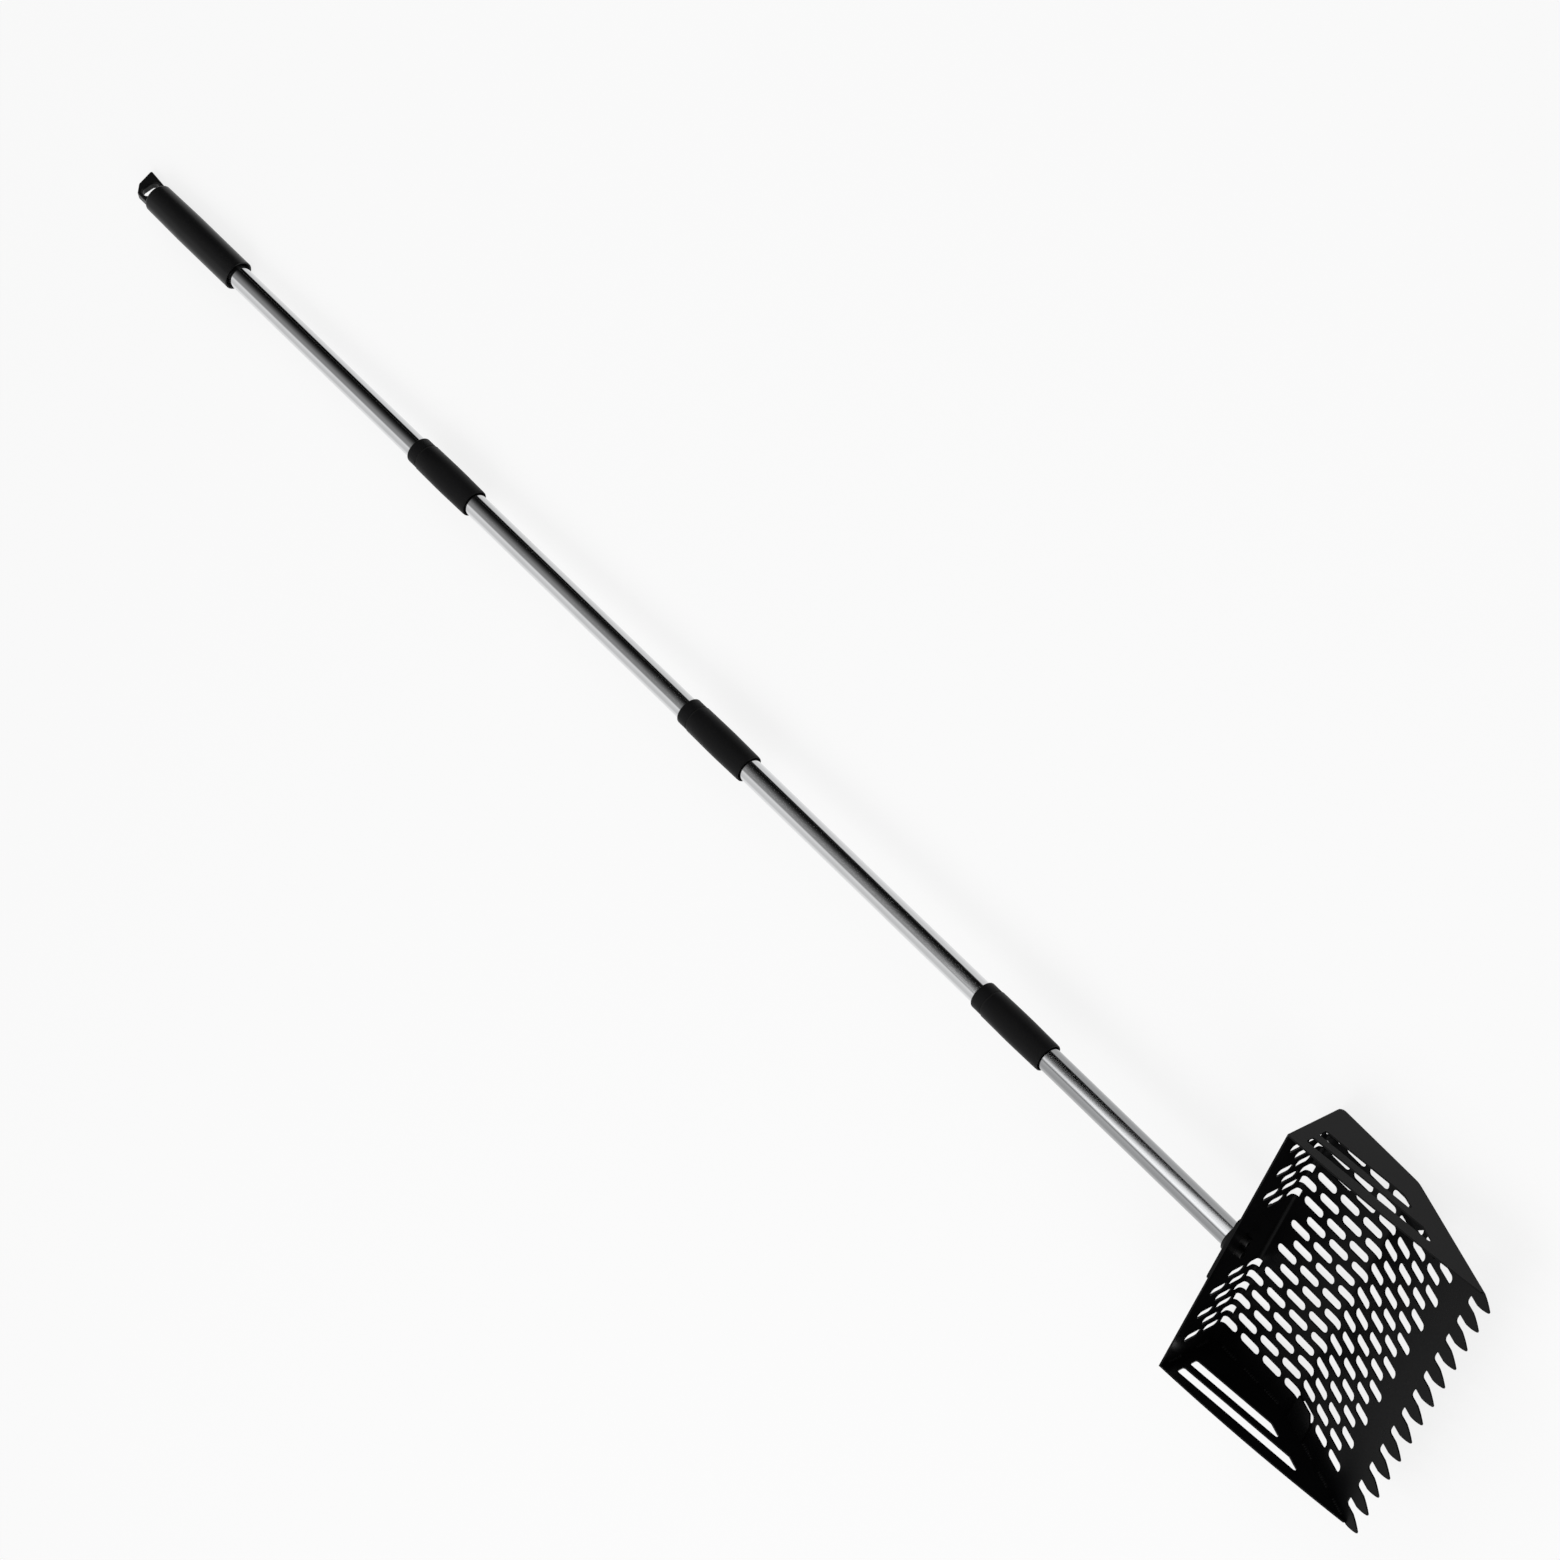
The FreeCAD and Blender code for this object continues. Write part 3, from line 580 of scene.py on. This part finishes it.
def thread(root, crest, length):
    """A screw thread from its section over one turn, cut square at both ends, from Z = 0 up.

    Root and crest are radii. The section is a flat-topped ridge, given as (radius, share of the
    pitch) corners."""
    ridge = ((root, 0.0), (root, 0.30), (crest, 0.42), (crest, 0.70), (root, 0.82), (root, 1.0))
    deselect()
    bpy.ops.mesh.primitive_plane_add(size=0.001)
    form = bpy.context.object
    bpy.ops.object.mode_set(mode="EDIT")
    bpy.ops.mesh.select_all(action="SELECT")
    bpy.ops.mesh.merge(type="CENTER")
    bpy.ops.transform.translate(value=(root, 0, -thread_pitch))
    for (radius, height), (next_radius, next_height) in zip(ridge, ridge[1:]):
        step = (next_radius - radius, 0, (next_height - height) * thread_pitch)
        bpy.ops.mesh.extrude_vertices_move(TRANSFORM_OT_translate={"value": step})
    bpy.ops.object.mode_set(mode="OBJECT")
    sweep = form.modifiers.new("sweep", "SCREW")
    sweep.axis = "Z"
    sweep.angle = math.tau
    sweep.screw_offset = thread_pitch
    sweep.iterations = int(length / thread_pitch) + thread_spare
    sweep.steps = thread_steps
    sweep.render_steps = thread_steps
    sweep.use_merge_vertices = True
    sweep.merge_threshold = merge_distance
    bpy.ops.object.modifier_apply(modifier="sweep")
    bpy.ops.object.mode_set(mode="EDIT")
    bpy.ops.mesh.select_all(action="SELECT")
    bpy.ops.mesh.remove_doubles(threshold=merge_distance)
    for height, facing in ((0.0, -1), (length, 1)):
        bpy.ops.mesh.select_all(action="SELECT")
        bpy.ops.mesh.bisect(plane_co=(0, 0, height), plane_no=(0, 0, facing), clear_outer=True,
                            use_fill=True)
    face_outwards()
    return form


def moulding(name, black, grey, roughness, grain, sheen):
    """Black moulded plastic: a fine spark-eroded grain and faint flow clouds."""
    finish = Finish(name, Specular_IOR_Level=sheen)
    grains = finish.noise(grain, detail=2)
    flow = pole_noise(finish, across=70, along=24, detail=3)
    finish.set(Base_Color=finish.between(flow, black, grey),
               Roughness=roughness + flow * flow_dulling + grains * grain_dulling)
    finish.bump(grains, depth=0.00003, strength=0.3)
    return finish.material


screwed_radius = thread_radius + thread_gap
sleeve_section = [(mouth_radius - mouth_land, 0.0), (mouth_radius, 0.0),
                  (mouth_radius + belly_swell, mouth_height),
                  (belly_radius - belly_swell, belly_start),
                  (belly_radius, belly_height), (belly_radius, belly_end),
                  (top_radius, sleeve_length),
                  (screwed_radius + screwed_chamfer, sleeve_length),
                  (screwed_radius, sleeve_length - screwed_chamfer_height),
                  (screwed_radius, web_top), (web_bore, web_top), (web_bore, seat_depth),
                  (tube_radius, seat_depth), (tube_radius, mouth_flare)]

collar_foot = sleeve_length + ring_height
collar_top = collar_foot + collar_height
shank_foot = collar_top - collar_seat
shank_top = shank_foot + plug_shank
plug_section = [(plug_bore, collar_foot - spigot_root),
                (thread_radius - thread_depth, collar_foot - spigot_root),
                (thread_radius - collar_edge, collar_foot),
                (collar_radius - collar_edge, collar_foot),
                (collar_radius, collar_foot + collar_edge_height),
                *[(collar_radius - inwards, collar_top - down) for inwards, down in shoulder],
                (tube_radius, collar_top), (tube_radius, shank_foot), (tube_bore, shank_foot),
                (tube_bore, shank_top - shank_chamfer), (tube_bore - shank_chamfer, shank_top),
                (plug_bore, shank_top)]

coupling_plastic = moulding("moulded_coupling", coupling_black, coupling_grey,
                            coupling_roughness, coupling_grain, coupling_sheen)
names = ("lower", "middle", "upper")
bodies = ("scoop", "lower_section", "middle_section", "upper_section")
for name, mouth, body_below, body_above in zip(names, sleeve_mouths, bodies, bodies[1:]):
    lie = pole_lie @ Matrix.Translation((0, 0, mouth))
    sleeve = softened(turned(sleeve_section), sleeve_rounding)
    settle(sleeve, lie, name + "_sleeve_moulding")
    finish_piece(sleeve, coupling_plastic, body_below)
    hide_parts(name + "_sleeve")

    plug_body = softened(turned(plug_section), plug_rounding)
    spigot = thread(thread_radius - thread_depth, thread_radius, thread_length)
    settle(spigot, Matrix.Translation((0, 0, collar_foot - thread_length)), "spigot")
    plug = joined([plug_body, spigot], name + "_plug_moulding")
    settle(plug, lie, name + "_plug_moulding")
    finish_piece(plug, coupling_plastic, body_above)
    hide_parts(name + "_plug")

# Seal rings. A flat black rubber ring lies in each coupling, between the sleeve and the collar, and
# is squeezed as the coupling is screwed up. The rubber is dull, with a faint grey bloom.

rubber_black = (0.0050, 0.0050, 0.0050)
rubber_bloom = (0.011, 0.011, 0.0106)
rubber_sheen = 0.3
rubber_roughness = 0.62
bloom_dulling = 0.2

rubber = Finish("seal_rubber", Specular_IOR_Level=rubber_sheen)
bloom = rubber.noise(scale=420, detail=4)
rubber.set(Base_Color=rubber.between(bloom, rubber_black, rubber_bloom),
           Roughness=rubber_roughness + bloom * bloom_dulling)
rubber.bump(rubber.noise(scale=3000, detail=2), depth=0.00005, strength=0.5)
coat(rubber.material, "lower_seal_ring", "middle_seal_ring", "upper_seal_ring")

# Pole tubes. Three lengths of the same stainless tube as the foot tube, polished to a mirror. The
# polish leaves hairlines along them, and hands leave faint smudges.

mirror_clean = (0.78, 0.785, 0.795)
mirror_smudged = (0.70, 0.705, 0.71)
mirror_roughness = 0.045
hairline_dulling = 0.05
smudge_dulling = 0.05

mirror = Finish("polished_stainless", Metallic=1.0)
hairlines = pole_noise(mirror, across=1300, along=9, detail=3)
handled = pole_noise(mirror, across=45, along=16, detail=4)
smudges = mirror.ramp(handled, (0.45, 0), (0.8, 1))
dulled = hairlines * hairline_dulling + smudges * smudge_dulling
mirror.set(Base_Color=mirror.between(smudges, mirror_clean, mirror_smudged),
           Roughness=mirror_roughness + dulled)
mirror.bump(hairlines, depth=0.00001, strength=0.15)
coat(mirror.material, "lower_tube", "middle_tube", "upper_tube")

# Grip. One black moulding pushed over the end of the top tube, its open end thinned to a lip and
# its closed end flattened to a hanger with an oblong hole. It is glossier than the couplings, from
# handling.

grip_black = (0.0054, 0.0054, 0.0057)
grip_grey = (0.0088, 0.0088, 0.0092)
grip_roughness = 0.24
grip_grain = 1100
grip_sheen = 0.22

coat(moulding("moulded_grip", grip_black, grip_grey, grip_roughness, grip_grain, grip_sheen),
     "grip")

# Studio. The tool lies on a white floor in a pale room, both white to the camera. In the gloss the
# room has a dark canopy, which gives the tubes their dark line, and in the canopy a bright pane,
# which lights up the foot tube. A black card under the tray, seen only in the gloss, is painted
# shade standing in for the floor's shade under the tray; it keeps the tray's slots out of the
# gloss.

floor_size = 30
floor_height = -0.0002
floor_grey = 0.17
floor_glow = 0.81                                   # added to what the camera sees of the floor
card_size = 0.24
card_place = (0, 0.735, -0.0001)
shade_card_grey = 0.01

white_floor = bpy.data.materials.new("white_floor")
floor_shading = Shading(white_floor)
floor_lit = floor_shading.node("BsdfDiffuse", {}, {"Color": (*[floor_grey] * 3, 1)})
floor_seen = floor_shading.node("LightPath", {}, {}, "Is Camera Ray")
floor_added = floor_shading.node("Emission", {}, {"Strength": floor_seen * floor_glow})
floor_shown = floor_shading.node("AddShader", {}, {0: floor_lit, 1: floor_added})
floor_shading.node("OutputMaterial", {}, {"Surface": floor_shown}, None)

# Painted shade: a near-black card that only the gloss sees, standing in for the floor's shade under
# the tray.
painted_shade_card = bpy.data.materials.new("painted_shade_card")
card_shading = Shading(painted_shade_card)
card_lit = card_shading.node("BsdfDiffuse", {}, {"Color": (*[shade_card_grey] * 3, 1)})
card_shading.node("OutputMaterial", {}, {"Surface": card_lit}, None)


def lay_plane(name, size, place, material):
    """Lays a flat square under the tool."""
    deselect()
    bpy.ops.mesh.primitive_plane_add(size=size, location=place)
    plane = bpy.context.object
    plane.name = name
    plane.data.materials.append(material)
    return plane


floor = lay_plane("floor", floor_size, (0, 0, floor_height), white_floor)
floor.visible_glossy = False
card = lay_plane("shadow_card", card_size, card_place, painted_shade_card)
card.visible_camera = False
card.visible_diffuse = False
card.visible_shadow = False

# The room is drawn around the pole. One measure is the angle round it in degrees, from 0 level
# with it on the camera's side over 90 above it. The other goes along it, from -1 straight beyond
# the grip to 1 straight beyond the teeth. The canopy's hem and the pane's lower edge hang askew.

room_axis = (0, 0.9997, 0.026)
room_light = 0.44                                   # what lights the object, from all sides
room_sweep = ((-180, 0.90), (-126, 0.90), (-82, 0.87), (-48, 0.73), (-7, 0.68), (-4, 0.003),
              (14, 0.006), (24, 0.015), (35, 0.04), (53, 0.13), (71, 0.25), (89, 0.28),
              (97, 0.33), (102, 0.6), (108, 0.84), (130, 0.70), (155, 0.66), (180, 0.90))
hem_slope = 100                                     # degrees, for each unit along
hem_middle = 27
hem_blur = 4
hem_grey = 0.004
hem_top = -5                                        # from here up, the sweep alone holds
pane_slope = 1140
pane_middle = -382
pane_blur = 10
pane_white = 2.2
pane_top = 88
pane_top_blur = 12
pane_end = -0.32
pane_end_blur = 0.02

world = bpy.data.worlds.new("pale_room")
bpy.context.scene.world = world
room = Shading(world)


def soft_edge(value, middle, blur, low=0.0, high=1.0):
    """A soft edge in the room, from low below its middle to high above; a blur below 0 turns it."""
    sockets = {0: value, 1: middle - blur, 2: middle + blur, 3: low, 4: high}
    return room.node("MapRange", {"interpolation_type": "SMOOTHSTEP"}, sockets)


way = room.node("TexCoord", {}, {}, "Generated")
way_right = room.node("SeparateXYZ", {}, {0: way}, "X")
way_up = room.node("SeparateXYZ", {}, {0: way}, "Z")
along = room.node("VectorMath", {"operation": "DOT_PRODUCT"}, {0: way, 1: room_axis}, "Value")
around = room.math("ARCTAN2", way_up, 0 - way_right) * (180 / math.pi)
sweep = room.ramp(around * (1 / 360) + 0.5,
                  *[(degrees / 360 + 0.5, grey) for degrees, grey in room_sweep])
hem = soft_edge(around - hem_slope * along, hem_middle, -hem_blur, hem_grey)
above_hem = room.math("GREATER_THAN", around, hem_top)
canopy = sweep * room.math("MAXIMUM", hem, above_hem)
pane = soft_edge(around + pane_slope * along, pane_middle, pane_blur, high=pane_white)
pane = pane * soft_edge(around, pane_top, -pane_top_blur)
pane = pane * soft_edge(along, pane_end, -pane_end_blur)
in_gloss = room.node("LightPath", {}, {}, "Is Glossy Ray")
in_view = room.node("LightPath", {}, {}, "Is Camera Ray")
light = room.node("Mix", {"data_type": "FLOAT"}, {0: in_gloss, 2: room_light, 3: canopy + pane})
strength = room.math("MAXIMUM", light, in_view)
glow = room.node("Background", {}, {"Color": (1, 1, 1, 1), "Strength": strength})
room.node("OutputWorld", {}, {"Surface": glow}, None)

# Three square lamps light it softly, and none of them shows in the gloss. The camera looks down
# from 3 m up, from the tray's left and beyond its teeth.

lamps = (("high_lamp", (1.6, 0.6, 2.6), 1.8, 34),   # name, place, size and watts
         ("left_lamp", (-2.4, -1.6, 1.6), 1.4, 20),
         ("front_lamp", (0.3, 3.2, 1.5), 1.4, 22))
lamp_aim = Vector((0, 0.2, 0))
camera_place = (-2.15608, 1.91094, 2.9881)
camera_turn = (-14.0803, 41.873, 118.6806)          # degrees
camera_lens = 115.385
camera_reach = 60

for name, place, size, watts in lamps:
    lamp = bpy.data.objects.new(name, bpy.data.lights.new(name, "AREA"))
    bpy.context.scene.collection.objects.link(lamp)
    lamp.data.size = size
    lamp.data.energy = watts
    lamp.visible_glossy = False
    lamp.location = place
    lamp.rotation_euler = (lamp_aim - Vector(place)).to_track_quat("-Z", "Y").to_euler()

camera = bpy.data.objects.new("camera", bpy.data.cameras.new("camera"))
bpy.context.scene.collection.objects.link(camera)
camera.location = camera_place
camera.rotation_euler = [math.radians(angle) for angle in camera_turn]
camera.data.lens = camera_lens
camera.data.sensor_width = 36
camera.data.clip_end = camera_reach
bpy.context.scene.camera = camera
bpy.context.scene.view_settings.view_transform = "Standard"
